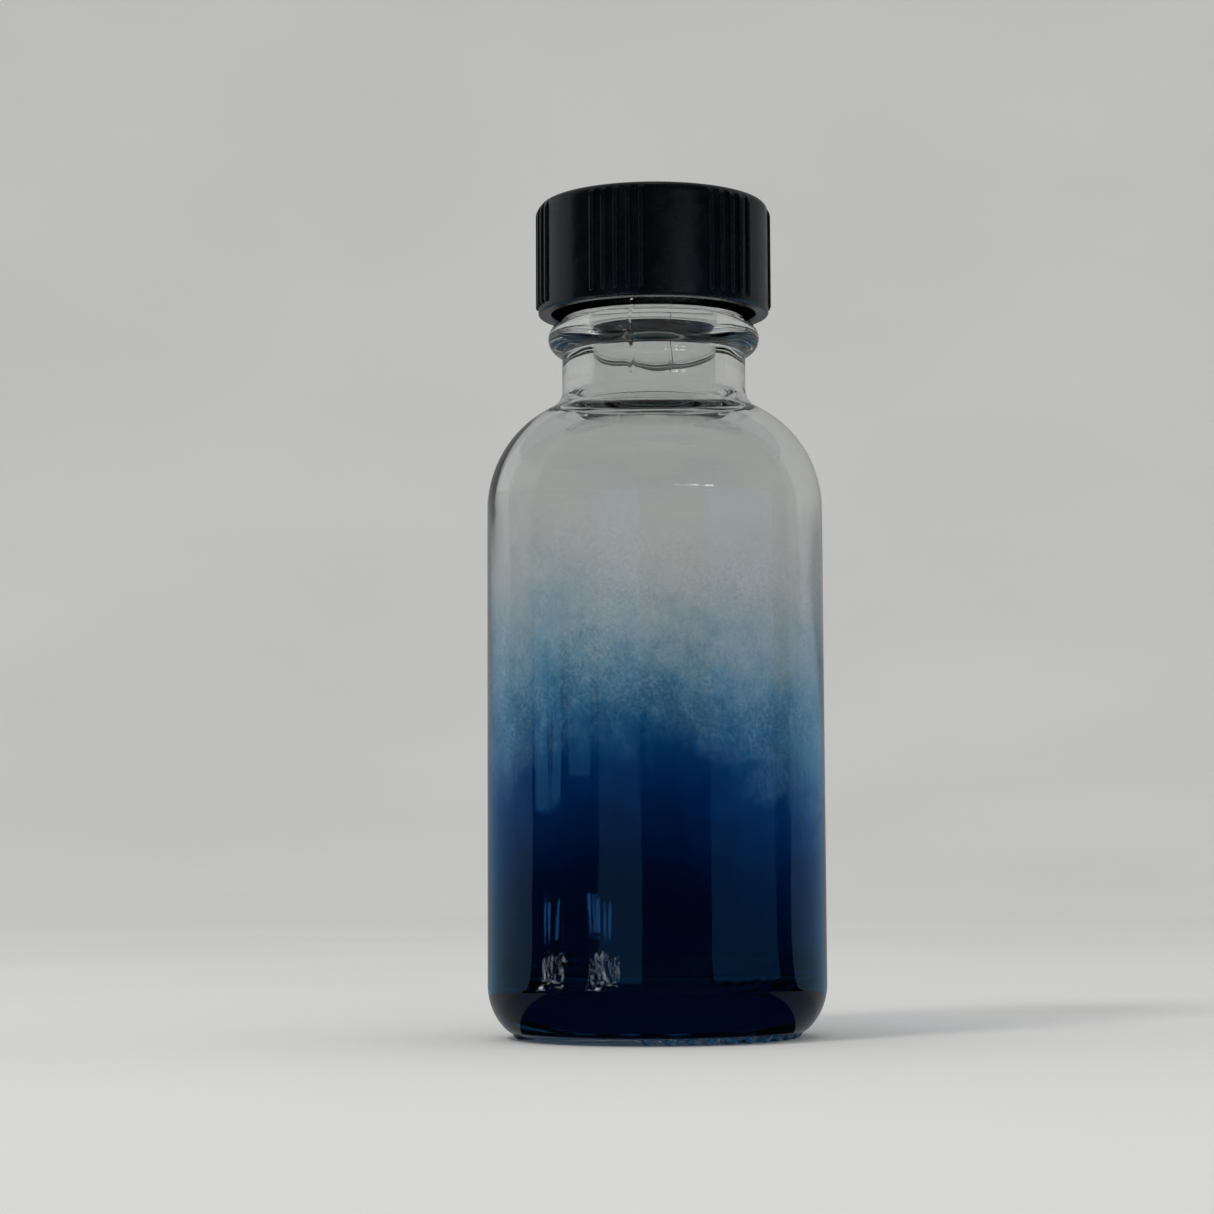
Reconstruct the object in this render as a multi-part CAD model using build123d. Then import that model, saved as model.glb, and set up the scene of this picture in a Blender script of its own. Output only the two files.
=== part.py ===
"""A 30 ml round-shouldered glass bottle for paint, built piece by piece in millimetres.

The bottle stands on z = 0 with its axis on +Z and its front towards -Y. A thin film of blue lacquer
covers its wall from the heel to the shoulder. Its screw neck, 8 turns to the inch, holds a ribbed cap,
which seals on a loose cone liner. The cap is modelled screwed right down.
"""

import os
from math import ceil, cos, pi, radians, sin, sqrt, tan

from build123d import *

# Bottle, outside
BOTTLE_HEIGHT = 79.2  # standing plane to the rim
BODY_R = 16.4  # the straight wall, over the lacquer
HEEL_UPPER_R = 6.0  # the heel is two tangent arcs, the upper one the larger
HEEL_LOWER_R = 2.8
HEEL_SPLIT_DEG = 41.4  # where the two arcs meet, below the horizontal
SHOULDER_R = 10.9
NECK_FILLET_R = 2.2  # between shoulder and neck
NECK_LENGTH = 3.4  # straight part, from that fillet to the bead
NECK_WIDER = 0.2  # how much the neck below the bead stands out from the screw neck
BEAD_HEIGHT = 3.3
BEAD_BEYOND_THREAD = 0.57
BEAD_FILLET_R = 0.4

# Bottle, inside
WALL = 2.2
NECK_WALL = 2.6
FLOOR_Z = 4.6  # the cavity's floor, above the standing plane
FLOOR_CORNER_R = 4.5
BORE_FLARE_R = 3.0  # where the bore opens into the shoulder
PUSH_UP = 1.1  # how far the underside is domed in
STANDING_RING = 1.4  # width of the flat ring round that dome

# Short radial bars under the standing ring, in two arcs with a plain gap between them
BAR_R = 0.8
BAR_PROUD = 0.3
BAR_FLAT = 0.06  # worn off each bar, so that the bottle stands on flats
BAR_LENGTH = 0.9  # between the centres of its round ends
BAR_PITCH_DEG = 8.6
BARS_IN_ARC = 13
BAR_ARC_MIDDLES_DEG = (-42.0, 138.0)

# Screw neck, size 20 with one shallow turn
FINISH_HEIGHT = 9.4  # bead to rim
SCREW_R = 8.8  # the neck under the thread
THREAD_PROUD = 1.0
THREAD_WIDTH = 1.9
THREAD_PITCH = 25.4 / 8
THREAD_DROP = 2.0  # rim to the thread's upper end
THREAD_TOP_DEG = -100.0
THREAD_TURN_DEG = 450.0
THREAD_FADE_DEG = 45.0
THREAD_SUNK = 0.3  # how deep a ridge's foot is set into the wall that carries it
LOFT_DEG = 45.0  # a screw ridge is lofts of about this length, end to end
SECTIONS_IN_LOFT = 3
RIM_OUTER_R = 0.8
RIM_INNER_R = 0.6

# Lacquer film
LACQUER = 0.06
LACQUER_FOOT_DEG = 50.0  # its lower edge, down the heel's lower arc
LACQUER_TOP_DEG = 20.0  # its upper edge, up the shoulder's arc

# Cap
CAP_ABOVE_BEAD = 0.7
CAP_WALL = 1.3
CAP_TOP = 1.4
CAP_CORNER_R = 0.9
CAP_EDGE_R = 0.25
SKIRT_CLEARANCE = 0.25  # bottle's thread to the skirt
CAP_THREAD_CLEARANCE = 0.35  # cap's thread to the screw neck
CAP_THREAD_WIDTH = 1.3
CAP_THREAD_GAP = 0.12  # between the flanks that tighten on each other
CAP_THREAD_ABOVE_EDGE = 1.4
RIB_PROUD = 0.25
RIB_WIDTH = 0.56
RIB_EDGE_R = 0.2
RIB_TOP_R = 1.4  # rounds the ribs' upper ends more than the corner's own radius, so that they sink into it
RIB_ABOVE_EDGE = 0.65
RIBS_IN_GROUP = 5
RIB_GROUPS = 6
RIB_PITCH_DEG = 6.3
RIB_FIRST_GROUP_DEG = -108.4

# Cone liner, and the low ring inside the cap that keeps it in
LINER_FLANGE = 1.0
LINER_CLEARANCE = 0.2  # flange to skirt
LINER_WALL = 0.8
CONE_CLEARANCE = 0.1  # cone to bore, at the rim
CONE_DEPTH = 4.6
CONE_TAPER_DEG = 18.0
KEEPER_BITE = 0.1  # how far the keeper reaches under the flange
KEEPER_HEIGHT = 0.6
KEEPER_GAP = 0.1

# Worked out from the above: the body
glass_r = BODY_R - LACQUER
heel_lower_r = HEEL_LOWER_R - LACQUER
heel_upper_r = HEEL_UPPER_R - LACQUER
shoulder_r = SHOULDER_R - LACQUER
heel_step = HEEL_UPPER_R - HEEL_LOWER_R
heel_upper_x = BODY_R - HEEL_UPPER_R
bearing_r = heel_upper_x + heel_step * cos(radians(HEEL_SPLIT_DEG))
heel_lower_z = BAR_PROUD + heel_lower_r
heel_upper_z = heel_lower_z + heel_step * sin(radians(HEEL_SPLIT_DEG))
heel_lower = (bearing_r, heel_lower_z)
heel_upper = (heel_upper_x, heel_upper_z)

# The neck, from the rim down to the shoulder
thread_r = SCREW_R + THREAD_PROUD
neck_r = SCREW_R + NECK_WIDER
bead_r = thread_r + BEAD_BEYOND_THREAD
bore_r = SCREW_R - NECK_WALL
bead_top_z = BOTTLE_HEIGHT - FINISH_HEIGHT
bead_foot_z = bead_top_z - BEAD_HEIGHT
neck_foot_z = bead_foot_z - NECK_LENGTH
shoulder_x = BODY_R - SHOULDER_R
neck_fillet = (neck_r + NECK_FILLET_R, neck_foot_z)
shoulder_across = neck_fillet[0] - shoulder_x
shoulder_rise = sqrt((shoulder_r + NECK_FILLET_R) ** 2 - shoulder_across**2)
wall_top_z = neck_foot_z - shoulder_rise
shoulder = (shoulder_x, wall_top_z)

# The cap and its liner
skirt_r = thread_r + SKIRT_CLEARANCE
cap_r = skirt_r + CAP_WALL
cap_under_z = BOTTLE_HEIGHT + LINER_FLANGE
cap_top_z = cap_under_z + CAP_TOP
cap_edge_z = bead_top_z + CAP_ABOVE_BEAD
liner_r = skirt_r - LINER_CLEARANCE


def arc(centre, radius, start_deg, end_deg):
    """A circular edge in the (r, z) half-plane, its angles measured up from the horizontal."""
    points = []
    for angle in (radians(start_deg), radians((start_deg + end_deg) / 2), radians(end_deg)):
        points.append((centre[0] + radius * cos(angle), centre[1] + radius * sin(angle)))
    return ThreePointArc(*points)


def lines(*points):
    """Straight edges from point to point, each point an (r, z) pair."""
    return [Line(start, end) for start, end in zip(points, points[1:])]


def outline(*edges):
    """A face in the XZ plane, bounded by edges drawn in (r, z)."""
    return Plane.XZ * make_face(edges)


def rounded(face, corner, radius):
    """Rounds the face's vertex at an (r, z) corner."""
    at = Vector(corner[0], 0, corner[1])
    vertex = min(face.vertices(), key=lambda v: (v.center() - at).length)
    return fillet(vertex, radius)


def spun(face):
    """The face turned once about the bottle's axis."""
    return revolve(face, Axis.Z, 360)


def helix_z(angle_deg):
    """Height of the middle of the bottle's thread at that angle round the axis."""
    return BOTTLE_HEIGHT - THREAD_DROP + THREAD_PITCH * (angle_deg - THREAD_TOP_DEG) / 360


def ridge_section(width, foot_r, crest_r):
    """Radius of a ridge's round section, and the radius at which its centre lies."""
    height = abs(crest_r - foot_r)
    section_r = (width**2 / 4 + height**2) / (2 * height)
    inward = 1 if crest_r < foot_r else -1
    return section_r, crest_r + inward * section_r


def helical_ridge(wall_r, crest_r, width, first_deg, last_deg, lowered):
    """A round-topped screw ridge on a wall, sinking into it at both ends, as short lofts end to end."""
    sunk = THREAD_SUNK if crest_r < wall_r else -THREAD_SUNK
    foot_r, faded_r = wall_r + sunk, wall_r + sunk / 2
    lofts = ceil((last_deg - first_deg) / LOFT_DEG)
    steps = lofts * SECTIONS_IN_LOFT
    sections = []
    for i in range(steps + 1):
        angle = first_deg + (last_deg - first_deg) * i / steps
        share = min(1, (angle - first_deg) / THREAD_FADE_DEG, (last_deg - angle) / THREAD_FADE_DEG)
        crest = faded_r + (crest_r - faded_r) * (1 - cos(pi * share)) / 2
        z = helix_z(angle) - lowered
        low, high = (foot_r, z - width / 2), (foot_r, z + width / 2)
        section = outline(ThreePointArc(low, (crest, z), high), Line(high, low))
        sections.append(Rot(0, 0, angle) * section)
    firsts = range(0, steps, SECTIONS_IN_LOFT)
    return [loft(sections[first : first + SECTIONS_IN_LOFT + 1]) for first in firsts]


def bottle_outside():
    """Half-section of the bottle as if it were solid, from the dome underneath up to the rim."""
    across_deg = Vector(shoulder_across, shoulder_rise).get_angle(Vector(1, 0))
    ring_z = heel_lower_z - heel_lower_r
    ring_inner_r = bearing_r - STANDING_RING
    dome_top = (0, ring_z + PUSH_UP)
    dome_r = (ring_inner_r**2 + PUSH_UP**2) / (2 * PUSH_UP)
    dome_halfway = (ring_inner_r / 2, dome_top[1] - dome_r + sqrt(dome_r**2 - ring_inner_r**2 / 4))
    bead_foot, bead_top = (neck_r, bead_foot_z), (SCREW_R, bead_top_z)
    bead_crest = (bead_r, (bead_foot_z + bead_top_z) / 2)
    rim = (SCREW_R, BOTTLE_HEIGHT)
    face = outline(
        ThreePointArc(dome_top, dome_halfway, (ring_inner_r, ring_z)),
        *lines((ring_inner_r, ring_z), (bearing_r, ring_z)),
        arc(heel_lower, heel_lower_r, -90, -HEEL_SPLIT_DEG),
        arc(heel_upper, heel_upper_r, -HEEL_SPLIT_DEG, 0),
        *lines((glass_r, heel_upper_z), (glass_r, wall_top_z)),
        arc(shoulder, shoulder_r, 0, across_deg),
        arc(neck_fillet, NECK_FILLET_R, 180 + across_deg, 180),
        *lines((neck_r, neck_foot_z), bead_foot),
        ThreePointArc(bead_foot, bead_crest, bead_top),
        *lines(bead_top, rim, (0, BOTTLE_HEIGHT), dome_top),
    )
    face = rounded(face, bead_foot, BEAD_FILLET_R)
    face = rounded(face, bead_top, BEAD_FILLET_R)
    return rounded(face, rim, RIM_OUTER_R)


def bottle_cavity():
    """Half-section of the space inside the bottle, with a little of the air above its mouth."""
    inner_r, inner_shoulder_r = glass_r - WALL, shoulder_r - WALL
    flare_across = bore_r - shoulder_x
    flare_rise = sqrt(inner_shoulder_r**2 - flare_across**2)
    flare_deg = Vector(flare_across, flare_rise).get_angle(Vector(1, 0))
    flare = (bore_r, wall_top_z + flare_rise)
    above_z = BOTTLE_HEIGHT + RIM_INNER_R
    mouth_r = bore_r + RIM_INNER_R
    face = outline(
        *lines((0, FLOOR_Z), (inner_r, FLOOR_Z), (inner_r, wall_top_z)),
        arc(shoulder, inner_shoulder_r, 0, flare_deg),
        *lines(flare, (bore_r, BOTTLE_HEIGHT - RIM_INNER_R)),
        arc((mouth_r, BOTTLE_HEIGHT - RIM_INNER_R), RIM_INNER_R, 180, 90),
        *lines((mouth_r, BOTTLE_HEIGHT), (mouth_r, above_z), (0, above_z), (0, FLOOR_Z)),
    )
    face = rounded(face, (inner_r, FLOOR_Z), FLOOR_CORNER_R)
    return rounded(face, flare, BORE_FLARE_R)


def standing_bars():
    """Short round-ended bars set radially into the standing ring, worn flat underneath."""
    bar = Rot(0, 90, 0) * Cylinder(BAR_R, BAR_LENGTH)
    bar += [Pos(end, 0, 0) * Sphere(BAR_R) for end in (-BAR_LENGTH / 2, BAR_LENGTH / 2)]
    from_top = (Align.CENTER, Align.CENTER, Align.MAX)
    below = Box(BAR_LENGTH + 3 * BAR_R, 3 * BAR_R, BAR_R, align=from_top)
    bar -= Pos(0, 0, BAR_FLAT - BAR_R) * below
    bars = []
    for middle in BAR_ARC_MIDDLES_DEG:
        for i in range(BARS_IN_ARC):
            angle = middle + (i - (BARS_IN_ARC - 1) / 2) * BAR_PITCH_DEG
            bars.append(Rot(0, 0, angle) * Pos(bearing_r, 0, BAR_R - BAR_FLAT) * bar)
    return bars


def glass_bottle():
    """One moulding of clear glass: base, wall, shoulder, neck, bead and screw neck."""
    bottle = spun(bottle_outside() - bottle_cavity())
    thread_first = THREAD_TOP_DEG - THREAD_TURN_DEG
    bottle += helical_ridge(SCREW_R, thread_r, THREAD_WIDTH, thread_first, THREAD_TOP_DEG, 0)
    return bottle + standing_bars()


def ombre_coating():
    """The lacquer film on the outside of the glass, from low on the heel to the start of the shoulder."""
    wall_foot, wall_top = (BODY_R, heel_upper_z), (BODY_R, wall_top_z)
    skin = [
        arc(heel_lower, HEEL_LOWER_R, -LACQUER_FOOT_DEG, -HEEL_SPLIT_DEG),
        arc(heel_upper, HEEL_UPPER_R, -HEEL_SPLIT_DEG, 0),
        *lines(wall_foot, wall_top),
        arc(shoulder, SHOULDER_R, 0, LACQUER_TOP_DEG),
    ]
    glass = [
        arc(heel_lower, heel_lower_r, -LACQUER_FOOT_DEG, -HEEL_SPLIT_DEG),
        arc(heel_upper, heel_upper_r, -HEEL_SPLIT_DEG, 0),
        *lines((glass_r, heel_upper_z), (glass_r, wall_top_z)),
        arc(shoulder, shoulder_r, 0, LACQUER_TOP_DEG),
    ]
    edges = [Line(skin[0] @ 0, glass[0] @ 0), Line(skin[-1] @ 1, glass[-1] @ 1)]
    return spun(outline(*skin, *glass, *edges))


def cap_ribs():
    """Upright grip ribs in groups, round at the foot, sinking into the cap's top corner."""
    rib_r = cap_r + RIB_PROUD
    foot_z = cap_edge_z + RIB_ABOVE_EDGE
    height = cap_top_z - foot_z + RIB_WIDTH
    front = Plane(origin=(rib_r, 0, foot_z + height / 2), x_dir=(0, 1, 0), z_dir=(-1, 0, 0))
    rib = extrude(front * SlotOverall(height, RIB_WIDTH, rotation=90), RIB_TOP_R)
    rib = fillet(rib.faces().sort_by(Axis.X)[-1].edges(), RIB_EDGE_R)
    low, high = (rib_r, cap_edge_z), (rib_r, cap_top_z)
    envelope = outline(*lines((0, cap_edge_z), low, high, (0, cap_top_z), (0, cap_edge_z)))
    rib &= spun(rounded(envelope, high, RIB_TOP_R))
    ribs = []
    for group in range(RIB_GROUPS):
        for i in range(RIBS_IN_GROUP):
            angle = RIB_FIRST_GROUP_DEG + 360 * group / RIB_GROUPS
            angle += (i - (RIBS_IN_GROUP - 1) / 2) * RIB_PITCH_DEG
            ribs.append(Rot(0, 0, angle) * rib)
    return ribs


def screw_cap():
    """The ribbed cap, with a keeper ring for the liner and a screw ridge inside its skirt."""
    keeper_r = liner_r - KEEPER_BITE
    keeper_top_z = BOTTLE_HEIGHT - KEEPER_GAP
    keeper_foot_z = keeper_top_z - KEEPER_HEIGHT
    keeper_top, keeper_foot = (skirt_r, keeper_top_z), (skirt_r, keeper_foot_z)
    face = outline(
        *lines((0, cap_under_z), (skirt_r, cap_under_z), keeper_top),
        ThreePointArc(keeper_top, (keeper_r, (keeper_top_z + keeper_foot_z) / 2), keeper_foot),
        *lines(keeper_foot, (skirt_r, cap_edge_z), (cap_r, cap_edge_z)),
        *lines((cap_r, cap_edge_z), (cap_r, cap_top_z), (0, cap_top_z), (0, cap_under_z)),
    )
    face = rounded(face, (cap_r, cap_top_z), CAP_CORNER_R)
    for corner_r in (cap_r, skirt_r):
        face = rounded(face, (corner_r, cap_edge_z), CAP_EDGE_R)
    cap = spun(face) + cap_ribs()

    crest_r = SCREW_R + CAP_THREAD_CLEARANCE
    cap_section, cap_centre = ridge_section(CAP_THREAD_WIDTH, skirt_r + THREAD_SUNK, crest_r)
    glass_section, glass_centre = ridge_section(THREAD_WIDTH, SCREW_R - THREAD_SUNK, thread_r)
    apart = cap_section + glass_section + CAP_THREAD_GAP
    lowered = sqrt(apart**2 - (cap_centre - glass_centre) ** 2)
    climb = helix_z(THREAD_TOP_DEG) - lowered - (cap_edge_z + CAP_THREAD_ABOVE_EDGE)
    first_deg = THREAD_TOP_DEG - 360 * climb / THREAD_PITCH
    return cap + helical_ridge(skirt_r, crest_r, CAP_THREAD_WIDTH, first_deg, THREAD_TOP_DEG, lowered)


def cone_liner():
    """A soft washer between rim and cap, with a hollow cone that plugs the bore."""
    cone_r = bore_r - CONE_CLEARANCE
    taper = CONE_DEPTH * tan(radians(CONE_TAPER_DEG))
    tip_r, tip_z = cone_r - taper, BOTTLE_HEIGHT - CONE_DEPTH
    inside_r = cone_r - LINER_WALL / cos(radians(CONE_TAPER_DEG))
    outer = lines((tip_r, tip_z), (cone_r, BOTTLE_HEIGHT), (liner_r, BOTTLE_HEIGHT), (liner_r, cap_under_z))
    inner = lines((inside_r, cap_under_z), (inside_r, BOTTLE_HEIGHT), (inside_r - taper, tip_z))
    top = Line((liner_r, cap_under_z), (inside_r, cap_under_z))
    tip = Line((inside_r - taper, tip_z), (tip_r, tip_z))
    return spun(outline(*outer, top, *inner, tip))


if __name__ == "__main__":
    os.makedirs("parts", exist_ok=True)
    for make in (glass_bottle, ombre_coating, screw_cap, cone_liner):
        export_step(make(), f"parts/{make.__name__}.step")
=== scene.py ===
"""A small glass paint bottle with a blue fade lacquered on it and a ribbed black cap, on a plain stage."""

from math import atan2, ceil, cos, degrees, hypot, pi, radians, sin, sqrt

import bpy
from mathutils import Matrix, Vector


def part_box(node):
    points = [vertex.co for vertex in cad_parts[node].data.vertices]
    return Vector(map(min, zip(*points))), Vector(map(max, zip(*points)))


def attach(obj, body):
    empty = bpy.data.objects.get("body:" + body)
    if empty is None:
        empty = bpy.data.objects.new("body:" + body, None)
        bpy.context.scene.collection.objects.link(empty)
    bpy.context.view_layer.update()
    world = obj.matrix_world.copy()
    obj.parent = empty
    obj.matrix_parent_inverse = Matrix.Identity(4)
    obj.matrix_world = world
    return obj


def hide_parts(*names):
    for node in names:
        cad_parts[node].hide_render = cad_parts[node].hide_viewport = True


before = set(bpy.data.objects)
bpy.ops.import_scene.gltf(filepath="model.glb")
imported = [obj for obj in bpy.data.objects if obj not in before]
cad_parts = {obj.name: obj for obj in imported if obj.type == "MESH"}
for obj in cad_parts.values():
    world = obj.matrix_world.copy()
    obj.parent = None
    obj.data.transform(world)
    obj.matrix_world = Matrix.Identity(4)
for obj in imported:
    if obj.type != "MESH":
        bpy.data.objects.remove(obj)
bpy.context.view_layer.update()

# ---- The glass -----------------------------------------------------------------------------------------
# One moulding of clear flint glass, blown in a two-part mould that leaves a faint seam down each side.
# Its thick base stands on short raised bars in two arcs. Its screw neck has one shallow thread.

mm = 0.001
glass_r, rim_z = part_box("glass_bottle")[1].x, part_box("glass_bottle")[1].z
film_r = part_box("ombre_coating")[1].x
film_depth = film_r - glass_r
heel_upper_r, heel_lower_r, heel_split = 6.0 * mm, 2.8 * mm, 41.4
shoulder_r, neck_fillet_r = 10.9 * mm, 2.2 * mm
neck_r, screw_r, bore_r = 9.0 * mm, 8.8 * mm, 6.2 * mm
bead_r, bead_tall, bead_below_rim = 10.37 * mm, 3.3 * mm, 9.4 * mm
neck_long, wall = 3.4 * mm, 2.2 * mm
floor_z, floor_corner_r, flare_r = 4.6 * mm, 4.5 * mm, 5.0 * mm
push_up, standing_ring, underside_z = 1.1 * mm, 1.4 * mm, 0.3 * mm
rim_outer_r, rim_inner_r = 0.8 * mm, 0.6 * mm

# where the arcs of the outside have their centres, as (r, z)
bead_top_z = rim_z - bead_below_rim
bead_foot_z = bead_top_z - bead_tall
neck_foot_z = bead_foot_z - neck_long
neck_fillet = (neck_r + neck_fillet_r, neck_foot_z)
shoulder_x = film_r - shoulder_r
shoulder_across = neck_fillet[0] - shoulder_x
shoulder_rise = sqrt((shoulder_r - film_depth + neck_fillet_r) ** 2 - shoulder_across**2)
shoulder = (shoulder_x, neck_foot_z - shoulder_rise)
shoulder_sweep = degrees(atan2(shoulder_rise, shoulder_across))
heel_step = heel_upper_r - heel_lower_r
heel_upper_x = film_r - heel_upper_r
bearing_r = heel_upper_x + heel_step * cos(radians(heel_split))
heel_lower = (bearing_r, underside_z + heel_lower_r - film_depth)
heel_upper = (heel_upper_x, heel_lower[1] + heel_step * sin(radians(heel_split)))


def bend(centre, radius, start_deg, end_deg, step=0.35 * mm):
    """Points round an arc in the (r, z) half-plane, its angles measured up from the horizontal."""
    count = max(2, ceil(abs(radians(end_deg - start_deg)) * radius / step))
    turns = [radians(start_deg + (end_deg - start_deg) * i / count) for i in range(count + 1)]
    return [(centre[0] + radius * cos(turn), centre[1] + radius * sin(turn)) for turn in turns]


def run(start, end, step=0.5 * mm):
    """Points along a straight line in the (r, z) half-plane, without its two ends."""
    count = max(1, ceil(hypot(end[0] - start[0], end[1] - start[1]) / step))
    shares = [i / count for i in range(1, count)]
    return [(start[0] + (end[0] - start[0]) * s, start[1] + (end[1] - start[1]) * s) for s in shares]


def lathe(name, outline, angles, formed=None, closed=False):
    """A mesh turned from (r, z) points, a point with r of 0 being a pole. formed(r, z, angle) moves a point.
    A closed outline joins its last ring to its first."""
    verts, faces, rings = [], [], []
    for r, z in outline:
        first = len(verts)
        for angle in angles if r > 0 else angles[:1]:
            at_r, at_z = formed(r, z, angle) if formed and r > 0 else (r, z)
            verts.append((at_r * cos(angle), at_r * sin(angle), at_z))
        rings.append([first + (k if r > 0 else 0) for k in range(len(angles))])
    for low, high in zip(rings, rings[1:] + rings[:1] if closed else rings[1:]):
        for k in range(len(angles)):
            after = (k + 1) % len(angles)
            faces.append(tuple(dict.fromkeys((low[k], low[after], high[after], high[k]))))
    mesh = bpy.data.meshes.new(name)
    mesh.from_pydata(verts, [], faces)
    mesh.shade_smooth()
    piece = bpy.data.objects.new(name, mesh)
    bpy.context.scene.collection.objects.link(piece)
    return piece


thread_r, thread_half = 9.8 * mm, 1.05 * mm
thread_pitch, thread_below_rim = 25.4 / 8 * mm, 2.0 * mm
thread_top_deg, thread_turn, thread_fade = -100.0, 450.0, 45.0


def thread_rise(z, angle):
    """How far the thread stands out of the screw neck at that height and angle."""
    rise = 0.0
    for turns in range(-2, 3):
        behind = thread_top_deg - degrees(angle) + 360 * turns
        if 0 < behind < thread_turn:
            middle = rim_z - thread_below_rim - thread_pitch * behind / 360
            share = min(1, behind / thread_fade, (thread_turn - behind) / thread_fade)
            off = abs(z - middle) / thread_half
            if off < 1:
                rise = max(rise, (thread_r - screw_r) * (1 - cos(pi * share)) / 2 * cos(pi * off / 2) ** 1.3)
    return rise


bar_r, bar_middle_z, bar_half = 0.8 * mm, 0.74 * mm, 0.45 * mm
bar_pitch, bars_in_arc, bar_arcs = 8.6, 13, (-42.0, 138.0)


def bar_foot(r, z, angle):
    """The height of the underside, lower where a standing bar crosses it. The bars are worn flat at z = 0."""
    for middle in bar_arcs:
        turn = (degrees(angle) - middle + 180) % 360 - 180
        nearest = max(-(bars_in_arc // 2), min(bars_in_arc // 2, round(turn / bar_pitch)))
        aside = radians(turn - nearest * bar_pitch)
        beyond = max(abs(r * cos(aside) - bearing_r) - bar_half, 0)
        off = hypot(r * sin(aside), beyond)
        if off < bar_r and cos(aside) > 0:
            return min(z, max(0.0, bar_middle_z - sqrt(bar_r**2 - off**2)))
    return z


seam_deg, seam_half = -103.5, 0.26 * mm
seam_on_bead, seam_on_neck, seam_on_shoulder = 0.17 * mm, 0.07 * mm, 0.02 * mm


def seam_rise(r, z, angle):
    """The mould's parting line, a low ridge on both sides, strongest on the bead. The wall has none."""
    if z > bead_foot_z:
        height = seam_on_bead
    elif z > neck_foot_z:
        height = seam_on_neck
    else:
        height = seam_on_shoulder if r < glass_r else 0.0
    off = radians((degrees(angle) - seam_deg + 90) % 180 - 90) * r
    return height * max(0.0, 1 - (off / seam_half) ** 2)


thread_zone_z, bar_zone_z = bead_top_z + 0.8 * mm, 1.5 * mm


def moulded(r, z, angle):
    """Moves a point of the glass's outside: the thread, the seams and the standing bars."""
    if z > thread_zone_z:
        return r + thread_rise(z, angle), z
    if z < bar_zone_z:
        return r, bar_foot(r, z, angle)
    return r + seam_rise(r, z, angle), z


neck_waver, wall_waver, floor_sag, waver_grows = 0.022 * mm, 0.05 * mm, 0.12 * mm, 3 * mm


def blown(r, z, angle):
    """Moves a point of the glass's inside, which only air has shaped: the wall is a little uneven."""
    in_body = max(0.0, min(1.0, (r - bore_r) / waver_grows))
    in_neck = max(0.0, min(1.0, (bead_top_z - z) / waver_grows)) * (1 - in_body)
    drawn = sin(3 * angle + 400 * z) + 0.8 * sin(5 * angle - 700 * z + 1.3)
    drawn += 0.4 * sin(11 * angle + 900 * z + 0.4)
    wave = sin(3 * angle + 70 * z + 0.6) + 0.7 * sin(5 * angle - 110 * z + 2.1)
    wave += 0.5 * sin(9 * angle + 260 * z)
    above_floor = z > floor_z + 1 * mm
    sag = 0.0 if above_floor else floor_sag * sin(2 * angle + 1.0) * in_body
    return r + in_neck * neck_waver * drawn * above_floor + in_body * wall_waver * wave, z + sag


fine = 0.16 * mm
ring_inner_r = bearing_r - standing_ring
dome_r = (ring_inner_r**2 + push_up**2) / (2 * push_up)
dome = (0.0, underside_z + push_up - dome_r)
dome_edge = degrees(atan2(underside_z - dome[1], ring_inner_r))
outside = [(0.0, underside_z + push_up), *bend(dome, dome_r, 90, dome_edge, 0.4 * mm)[1:]]
outside += run((ring_inner_r, underside_z), (bearing_r, underside_z), fine)
outside += bend(heel_lower, heel_lower_r - film_depth, -90, -heel_split, fine)
outside += bend(heel_upper, heel_upper_r - film_depth, -heel_split, 0)[1:]
outside += run((glass_r, heel_upper[1]), (glass_r, shoulder[1]), 1.0 * mm)
outside += bend(shoulder, shoulder_r - film_depth, 0, shoulder_sweep)
outside += bend(neck_fillet, neck_fillet_r, 180 + shoulder_sweep, 180)[1:]
bead_half, bead_proud = bead_tall / 2, bead_r - (neck_r + screw_r) / 2
bead_round = (bead_half**2 + bead_proud**2) / (2 * bead_proud)
bead_reach = degrees(atan2(bead_half, bead_round - bead_proud))
bead_middle, bead_end_deg = (bead_r - bead_round, bead_foot_z + bead_half), bead_reach - 4
outside += run((neck_r, neck_foot_z), (neck_r, bead_foot_z - 0.25 * mm), 0.4 * mm)
outside += [(neck_r + 0.03 * mm, bead_foot_z - 0.12 * mm)]
outside += bend(bead_middle, bead_round, -bead_end_deg, bead_end_deg, 0.15 * mm)
outside += [(screw_r + 0.03 * mm, bead_top_z + 0.12 * mm)]
outside += run((screw_r, bead_top_z + 0.25 * mm), (screw_r, rim_z - rim_outer_r), fine)
outside += bend((screw_r - rim_outer_r, rim_z - rim_outer_r), rim_outer_r, 0, 90, fine)

inner_r, inner_shoulder_r = glass_r - wall, shoulder_r - film_depth - wall
flare_x = bore_r + flare_r
flare_z = shoulder[1] + sqrt((inner_shoulder_r + flare_r) ** 2 - (flare_x - shoulder_x) ** 2)
flare_meet = degrees(atan2(flare_z - shoulder[1], flare_x - shoulder_x))
corner = (inner_r - floor_corner_r, floor_z + floor_corner_r)
inside = bend((bore_r + rim_inner_r, rim_z - rim_inner_r), rim_inner_r, 90, 180, fine)
inside += run((bore_r, rim_z - rim_inner_r), (bore_r, flare_z))
inside += bend((flare_x, flare_z), flare_r, 180, 180 + flare_meet)
inside += bend(shoulder, inner_shoulder_r, flare_meet, 0)[1:]
inside += run((inner_r, shoulder[1]), (inner_r, corner[1]), 1.0 * mm)
inside += bend(corner, floor_corner_r, 0, -90)
inside += run((corner[0], floor_z), (0, floor_z)) + [(0.0, floor_z)]
inside_points = set(inside)

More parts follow.
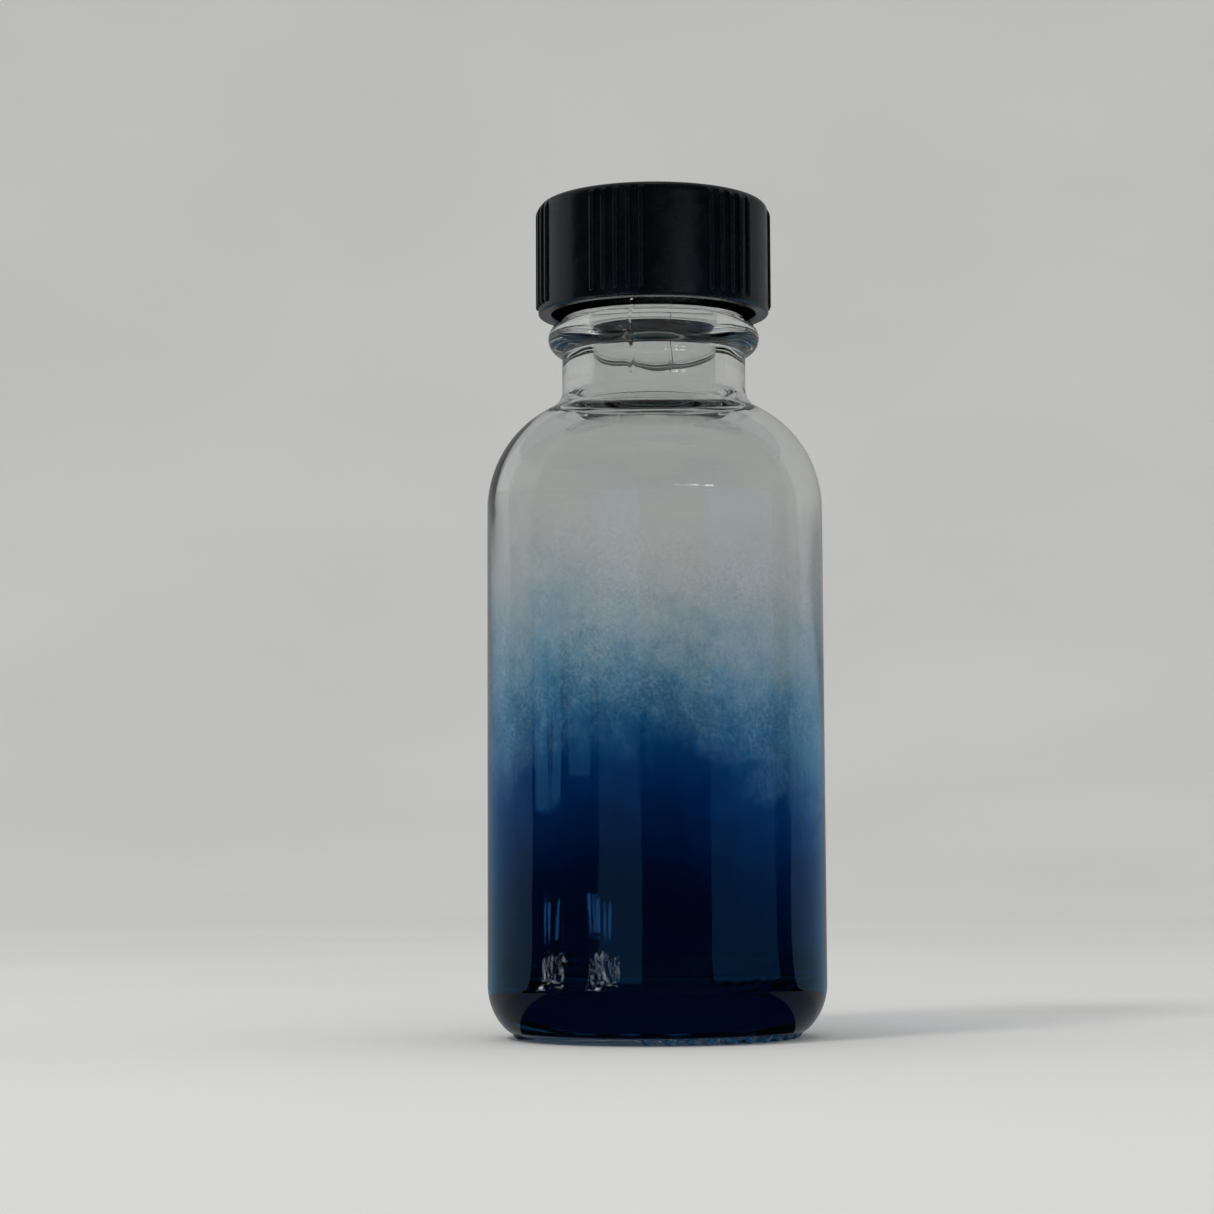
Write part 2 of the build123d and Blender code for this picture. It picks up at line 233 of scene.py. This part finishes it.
# the columns of points stand closer together at the two seams
columns, seam_gap = 288, 0.006
round_turn = [2 * pi * k / columns for k in range(columns)]
seam_offs = (-1.6, -1.2, -0.8, -0.4, 0, 0.4, 0.8, 1.2, 1.6)
seam_turns = [radians(seam_deg + side + off) % (2 * pi) for side in (0, 180) for off in seam_offs]
clear_of_seam = [turn for turn in round_turn if min(abs(turn - seam) for seam in seam_turns) > seam_gap]
glass_turns = sorted(clear_of_seam + seam_turns)


def glass_formed(r, z, angle):
    """Moves a point of the glass, on its inside or its outside."""
    return blown(r, z, angle) if (r, z) in inside_points else moulded(r, z, angle)


glass = lathe("flint_glass", outside + inside, glass_turns, glass_formed)
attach(glass, "bottle")
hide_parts("glass_bottle")


class Socket:
    """A shader socket that sums can be written on. Each operator adds a Math node to its material."""

    def __init__(self, tree, socket=None):
        self.tree, self.socket = tree, socket

    def node(self, kind, settings=None, inputs=None, output=0):
        """Adds any node: its settings first, then the values or links of its sockets. Gives one output."""
        node = self.tree.nodes.new("ShaderNode" + kind)
        for name, value in (settings or {}).items():
            if name == "stops":
                ends = node.color_ramp.elements
                for i, (at, colour) in enumerate(value):
                    stop = ends[i] if i < len(ends) else ends.new(at)
                    stop.position, stop.color = at, colour
            else:
                setattr(node, name, value)
        for name, value in (inputs or {}).items():
            if isinstance(value, Socket):
                self.tree.links.new(value.socket, node.inputs[name])
            else:
                node.inputs[name].default_value = value
        return Socket(self.tree, node.outputs[output])

    def maths(self, operation, first, second):
        """One Math node on two values or sockets."""
        return self.node("Math", {"operation": operation}, {0: first, 1: second})

    def __add__(self, other):
        return self.maths("ADD", self, other)

    def __sub__(self, other):
        return self.maths("SUBTRACT", self, other)

    def __rsub__(self, other):
        return self.maths("SUBTRACT", other, self)

    def __mul__(self, other):
        return self.maths("MULTIPLY", self, other)

    def __pow__(self, other):
        return self.maths("POWER", self, other)

    __radd__, __rmul__ = __add__, __mul__

    def between(self, low, high, at_low=0.0, at_high=1.0):
        """A smooth change from at_low to at_high as this goes from low to high."""
        ends = {"From Min": low, "From Max": high, "To Min": at_low, "To Max": at_high}
        return self.node("MapRange", {"interpolation_type": "SMOOTHSTEP"}, {"Value": self, **ends})

    def grain(self, scale, detail=3.0, roughness=0.5, distortion=0.0):
        """Noise through this point of the piece. scale is per metre."""
        fine_as = {"Scale": scale, "Detail": detail, "Roughness": roughness, "Distortion": distortion}
        return self.node("TexNoise", None, {"Vector": self, **fine_as})


def finish(name, surface_of):
    """A material. surface_of takes the point on the piece, in metres, and gives the shader of its surface."""
    made = bpy.data.materials.new(name)
    made.use_nodes = True
    made.node_tree.nodes.clear()
    point = Socket(made.node_tree).node("TexCoord", output="Object")
    surface = surface_of(point)
    out = made.node_tree.nodes.new("ShaderNodeOutputMaterial")
    made.node_tree.links.new(surface.socket, out.inputs["Surface"])
    return made


def shader_mix(share, first, second):
    """share of the second shader, and the rest of the first."""
    return first.node("MixShader", None, {0: share, 1: first, 2: second})


def flint(point):
    """Clear glass with the slow ripple of a blown wall and a few greasy smudges. Lamps shine through it."""
    ripple = point.grain(110, detail=1.0)
    handled = point.grain(180, detail=4.0).between(0.5, 0.75, 0.0, 0.03)
    normal = point.node("Bump", None, {"Strength": 0.12, "Distance": 0.4 * mm, "Height": ripple})
    clear = {"Base Color": (0.80, 0.815, 0.805, 1), "Transmission Weight": 1.0, "IOR": 1.5}
    body = point.node("BsdfPrincipled", None, {**clear, "Roughness": handled, "Normal": normal})
    through = point.node("BsdfTransparent", None, {"Color": (0.72, 0.76, 0.78, 1)})
    return shader_mix(point.node("LightPath", output="Is Shadow Ray"), body, through)


glass.data.materials.append(finish("flint_glass", flint))

# ---- The blue fade -------------------------------------------------------------------------------------
# Translucent lacquer sprayed round the outside of the glass, thick and navy at the heel, thinner up the
# wall, and ending in a mist of dry overspray under the shoulder. It is a film stuck all round.

film_gap = 0.008 * mm
# painted_side_light: how strongly the lacquer is lightened towards the sides, painted light for light coming
# through the glass at its edges
fade_z, painted_side_light = 44 * mm, 0.3
foot_deg, top_deg = 60.0, 20.0


def film_line(depth):
    """The film's face at that depth under the lacquer's outside, from its foot to its top."""
    line = bend(heel_lower, heel_lower_r - depth, -foot_deg, -heel_split, fine)
    line += bend(heel_upper, heel_upper_r - depth, -heel_split, 0)[1:]
    line += run((film_r - depth, heel_upper[1]), (film_r - depth, shoulder[1]), 1.0 * mm)
    return line + bend(shoulder, shoulder_r - depth, 0, top_deg)


outer_line, inner_line = film_line(film_gap), film_line(film_depth - film_gap)
film_outline = outer_line + inner_line[::-1]
film = lathe("blue_lacquer", film_outline, round_turn, closed=True)
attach(film, "bottle")
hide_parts("ombre_coating")


def spray_height(point):
    """Height up the wall as the spray met it. Below fade_z the sides are given less, a painted lightening
    that stands for light coming through the glass at its sides.
    Its edges are cloudy and lean down to the right."""
    x = point.node("SeparateXYZ", None, {"Vector": point}, output="X")
    z = point.node("SeparateXYZ", None, {"Vector": point}, output="Z")
    cloud = point.grain(95, detail=5.0, roughness=0.6, distortion=0.4) - 0.5
    wisp = point.grain(420, detail=4.0, roughness=0.65) - 0.5
    drops = point.grain(2600, detail=2.0) - 0.5
    # painted lightening of the sides below fade_z, standing in for light that comes through the glass at its
    # edges
    side = x * x * (painted_side_light / glass_r**2)
    below = z.maths("MAXIMUM", fade_z - z, 0.0)
    return z + below * side + 0.12 * x + cloud * (15 * mm) + wisp * (6 * mm) + drops * (2 * mm)


# each coat: the height in mm where it starts, the height where it is whole, and the colour it lets through
coats = (
    (46, 36, (0.78, 0.88, 0.95)),
    (38.5, 31.5, (0.38, 0.69, 0.84)),
    (33.5, 24, (0.14, 0.44, 0.66)),
    (26, 14, (0.04, 0.24, 0.40)),
)


def lacquer_tint(point):
    """The colour that a face of the film lets through, clear at the top and navy at the foot."""
    height = spray_height(point)
    tint = point.node("BsdfTransparent", None, {"Color": (1, 1, 1, 1)})
    for top, foot, colour in coats:
        coat = point.node("BsdfTransparent", None, {"Color": (*colour, 1)})
        tint = shader_mix(height.between(foot * mm, top * mm, 1.0, 0.0), tint, coat)
    return tint


def lacquer(point):
    """The film's outside: the tint under a mist of dry specks, and the gloss of wet lacquer, which thins out
    at the top."""
    height = spray_height(point)
    speck = point.grain(3800, detail=2.0).between(0.44, 0.62)
    drift = point.grain(600, detail=4.0, roughness=0.65)
    z = point.node("SeparateXYZ", None, {"Vector": point}, output="Z")
    arrives = ((z + height) * 0.5 + drift * (5 * mm)).between(43 * mm, 56 * mm, 1.0, 0.0)
    mist = arrives * height.between(25 * mm, 38 * mm) * (0.14 + 0.24 * speck * drift.between(0.25, 0.6))
    dry = {"Base Color": (0.36, 0.45, 0.50, 1), "Roughness": 0.55, "IOR": 1.45}
    runs = point.grain(75, detail=2.0)
    slow = point.node("Bump", None, {"Strength": 1.0, "Distance": 0.1 * mm, "Height": runs})
    fine_peel = {"Strength": 0.06, "Distance": 0.05 * mm, "Height": point.grain(900), "Normal": slow}
    peel = point.node("Bump", None, fine_peel)
    wet = z.between(49 * mm, 54.5 * mm, 1.0, 0.0)
    gloss = point.node("BsdfGlossy", None, {"Color": (1, 1, 1, 1), "Roughness": 0.03, "Normal": peel})
    facing = point.node("LayerWeight", None, {"Blend": 0.5, "Normal": peel}, output="Facing")
    misted = shader_mix(mist, lacquer_tint(point), point.node("BsdfPrincipled", None, dry))
    return shader_mix((facing**5 * 0.96 + 0.04) * wet, misted, gloss)


film.data.materials.append(finish("blue_lacquer", lacquer))
film.data.materials.append(finish("blue_lacquer_back", lacquer_tint))
outer_faces = (len(outer_line) - 1) * columns
for i, face in enumerate(film.data.polygons):
    face.material_index = 0 if i < outer_faces else 1

# ---- The cone liner ------------------------------------------------------------------------------------
# A soft washer of natural polyethylene between rim and cap, with a hollow cone that plugs the bore.
# It is loose in the cap, held by a low ring inside the skirt, and shows only when the cap is off.


def polyethylene(point):
    """Waxy, cloudy white, with flow marks."""
    cloudy = point.grain(700, detail=4.0)
    whites = [(0.3, (0.66, 0.67, 0.64, 1)), (0.7, (0.80, 0.81, 0.79, 1))]
    colour = point.node("ValToRGB", {"stops": whites}, {"Fac": cloudy})
    normal = point.node("Bump", None, {"Strength": 0.2, "Distance": 0.05 * mm, "Height": point.grain(3000)})
    waxy = {"Subsurface Weight": 0.4, "Subsurface Scale": 0.8 * mm, "IOR": 1.5}
    varied = {"Base Color": colour, "Roughness": cloudy.between(0.2, 0.8, 0.32, 0.5), "Normal": normal}
    return point.node("BsdfPrincipled", None, {**waxy, **varied})


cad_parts["cone_liner"].data.materials.clear()
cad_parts["cone_liner"].data.materials.append(finish("natural_polyethylene", polyethylene))

# ---- The cap -------------------------------------------------------------------------------------------
# A black phenolic moulding with groups of grip ribs, and a screw ridge inside its skirt that fits the
# neck's thread. The press leaves it glossy, and handling dulls the crests of the ribs and the rim.


def phenolic(point):
    """Near-black, with faint flow in the gloss and rubbed crests."""
    flow = point.grain(500, detail=5.0, roughness=0.6)
    rubbed = point.node("NewGeometry", output="Pointiness").between(0.5, 0.56)
    roughness = flow.between(0.3, 0.7, 0.16, 0.28) + rubbed * 0.12
    shade = flow.between(0.3, 0.8) * 0.5 + rubbed * 0.5
    blacks = [(0.0, (0.0015, 0.002, 0.003, 1)), (1.0, (0.005, 0.006, 0.008, 1))]
    colour = point.node("ValToRGB", {"stops": blacks}, {"Fac": shade})
    pitted = point.grain(1800, detail=4.0)
    normal = point.node("Bump", None, {"Strength": 0.12, "Distance": 0.05 * mm, "Height": pitted})
    varied = {"Base Color": colour, "Roughness": roughness, "Normal": normal}
    return point.node("BsdfPrincipled", None, {"IOR": 1.5, **varied})


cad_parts["screw_cap"].data.materials.clear()
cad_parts["screw_cap"].data.materials.append(finish("black_phenolic", phenolic))

# ---- The stage -----------------------------------------------------------------------------------------
# A round pale sweep, floor and wall in one, under an even white sky and one soft lamp. Cards that only
# gloss can see give the glass its dark and light upright bands, and a grey roof shows only through it.


card_step_deg, patch_edge = 4, 0.12


def card(name, outline, start_deg, end_deg, colour, broken=None, fading=(1.0, 2.0), through=False):
    """A curved glowing card round the bottle. outline is (r, z), and 0 degrees is the camera's side. Only
    gloss sees it, or if it is through, only light that comes through the glass. broken is the number of
    patches per metre and the noise where one starts. fading is the heights where the glow fades and ends."""
    count = ceil((end_deg - start_deg) / card_step_deg)
    verts, faces = [], []
    for i in range(count + 1):
        turn = radians(-90 + start_deg + (end_deg - start_deg) * i / count)
        verts += [(r * cos(turn), r * sin(turn), z) for r, z in outline]
    rows = len(outline)
    for i in range(count):
        for k in range(i * rows, (i + 1) * rows - 1):
            faces.append((k, k + 1, k + 1 + rows, k + rows))
    mesh = bpy.data.meshes.new(name)
    mesh.from_pydata(verts, [], faces)
    made = bpy.data.objects.new(name, mesh)
    bpy.context.scene.collection.objects.link(made)

    def glow(point):
        share = point.node("SeparateXYZ", None, {"Vector": point}, output="Z").between(*fading, 1.0, 0.0)
        if broken:
            per_metre, starts = broken
            patches = point.grain(per_metre, detail=2.0, distortion=0.6)
            share = share * patches.between(starts, starts + patch_edge)
        clear = point.node("BsdfTransparent", None, {"Color": (1, 1, 1, 1)})
        lit = point.node("Emission", None, {"Color": (*colour, 1), "Strength": 1.0})
        return shader_mix(share, clear, lit)

    mesh.materials.append(finish(name, glow))
    made.visible_camera = made.visible_diffuse = made.visible_shadow = False
    made.visible_glossy, made.visible_transmission = not through, through


def plaster(point):
    """Dull, pale and a little cloudy."""
    tone = point.grain(6, detail=2.0).between(0.3, 0.7)
    pales = [(0, (0.70, 0.70, 0.69, 1)), (1, (0.73, 0.73, 0.72, 1))]
    colour = point.node("ValToRGB", {"stops": pales}, {"Fac": tone})
    dull = {"Roughness": 1.0, "Specular IOR Level": 0.0}
    return point.node("BsdfPrincipled", None, {**dull, "Base Color": colour})


room_r, sweep_r = 1.5, 1.0
sweep = [(0.0, 0.0), *run((0, 0), (room_r - sweep_r, 0), 0.1)]
sweep += bend((room_r - sweep_r, sweep_r), sweep_r, -90, 0, 0.05)
floor = lathe("floor", sweep, [2 * pi * k / 96 for k in range(96)])
floor.data.materials.append(finish("pale_floor", plaster))

# the dark and grey cards wrap the whole bottle, low over the floor, and the others stand inside them
reach, low = 0.48, 0.2 * mm
round_outline = [(0.0142, low), (reach, low), (reach, 0.40), (0.30, 0.60), (0.05, 0.66)]
card("dark_card", round_outline, -91, 101, (0.006, 0.008, 0.010))
card("grey_card", round_outline, 101, 269, (0.22, 0.225, 0.23))
teal_outline = [(0.05, 2 * low), (0.47, 2 * low), (0.47, 0.11)]
card("teal_right", teal_outline, 101, 152, (0.16, 0.30, 0.42), fading=(0.03, 0.11))
card("teal_left", teal_outline, 208, 269, (0.16, 0.30, 0.42), fading=(0.03, 0.11))
card("heel_left", [(0.0142, 2 * low), (0.05, 2 * low)], -91, -66, (0.17, 0.19, 0.20))
card("heel_right", [(0.0142, 2 * low), (0.05, 2 * low)], 66, 101, (0.15, 0.18, 0.20))
card("left_panel", [(0.12, 2 * low), (0.46, 2 * low), (0.46, 0.12)], -38, -10, (0.06, 0.18, 0.36))
card("right_panel", [(0.14, 2 * low), (0.46, 2 * low), (0.46, 0.12)], 36, 86, (0.04, 0.17, 0.42))
card("blue_panel", [(0.45, 28 * mm), (0.45, 110 * mm)], -88, -66, (0.15, 0.60, 0.95), (30, 0.3), (0.04, 0.11))
card("dim_panel", [(0.45, 36 * mm), (0.45, 110 * mm)], -60, -44, (0.09, 0.38, 0.60), (30, 0.3), (0.04, 0.11))
card("slate_panel", [(0.46, 0.14), (0.46, 0.30)], -140, -88, (0.40, 0.42, 0.44))
roof_outline = [(0.46, 0.30), (0.42, 0.46), (0.22, 0.60), (0.0, 0.64)]
card("roof", roof_outline, 0, 360, (0.42, 0.43, 0.43), through=True)
card("window", [(0.43, 0.126), (0.43, 0.134)], 14, 42, (9, 9.4, 9.6), (70, 0.46))
card("blue_spot_left", [(0.44, 3 * low), (0.44, 9 * mm)], -80, -64, (0.2, 0.9, 2.4), (30, 0.42))
card("blue_spot_right", [(0.44, 3 * low), (0.44, 9 * mm)], -46, -30, (0.2, 0.9, 2.4), (30, 0.42))
card("glint_left", [(0.45, 38 * mm), (0.45, 56 * mm)], -83, -81.5, (0.9, 1.9, 2.8))
card("glint_right", [(0.45, 38 * mm), (0.45, 48 * mm)], -60, -58.5, (0.8, 1.7, 2.6))
card("sparkle_left", [(0.07, 3 * low), (0.24, 3 * low)], -80, -60, (13, 14, 15), (130, 0.58))
card("sparkle_right", [(0.07, 3 * low), (0.24, 3 * low)], -44, -24, (13, 14, 15), (130, 0.58))

sky = bpy.data.worlds.new("white_sky")
sky.use_nodes = True
sky.node_tree.nodes["Background"].inputs["Color"].default_value = (1.0, 1.0, 1.0, 1)
sky.node_tree.nodes["Background"].inputs["Strength"].default_value = 0.82
bpy.context.scene.world = sky

lamp_at, lamp_aim = Vector((-0.30, -0.30, 0.55)), Vector((0, 0, 0.04))
light = bpy.data.lights.new("high_left", "AREA")
light.shape, light.size, light.size_y, light.energy = "RECTANGLE", 0.12, 0.12, 1.2
lamp = bpy.data.objects.new("high_left", light)
lamp_turn = (lamp_aim - lamp_at).to_track_quat("-Z", "Y").to_matrix().to_4x4()
lamp.matrix_world = Matrix.Translation(lamp_at) @ lamp_turn
lamp.visible_glossy = lamp.visible_transmission = False
bpy.context.scene.collection.objects.link(lamp)

# the camera is under a foot away and low, looking a little up at the neck
view = bpy.data.cameras.new("camera")
view.sensor_width, view.lens = 36.0, 87.79
view.shift_x, view.shift_y = -0.0396, -0.019
view.clip_start = 0.01
camera = bpy.data.objects.new("camera", view)
camera_at, tilt, roll = (0, -0.2885, 0.017), radians(95.34), radians(-0.35)
camera.matrix_world = (
    Matrix.Translation(camera_at) @ Matrix.Rotation(tilt, 4, "X") @ Matrix.Rotation(roll, 4, "Z")
)
bpy.context.scene.collection.objects.link(camera)
bpy.context.scene.camera = camera

# light gets through every wall of the glass, and white stays white
scene = bpy.context.scene
scene.view_settings.view_transform = "Standard"
scene.cycles.max_bounces = 24
scene.cycles.transmission_bounces = 20
scene.cycles.transparent_max_bounces = 24
scene.cycles.glossy_bounces = 8
scene.cycles.blur_glossy = 0.3
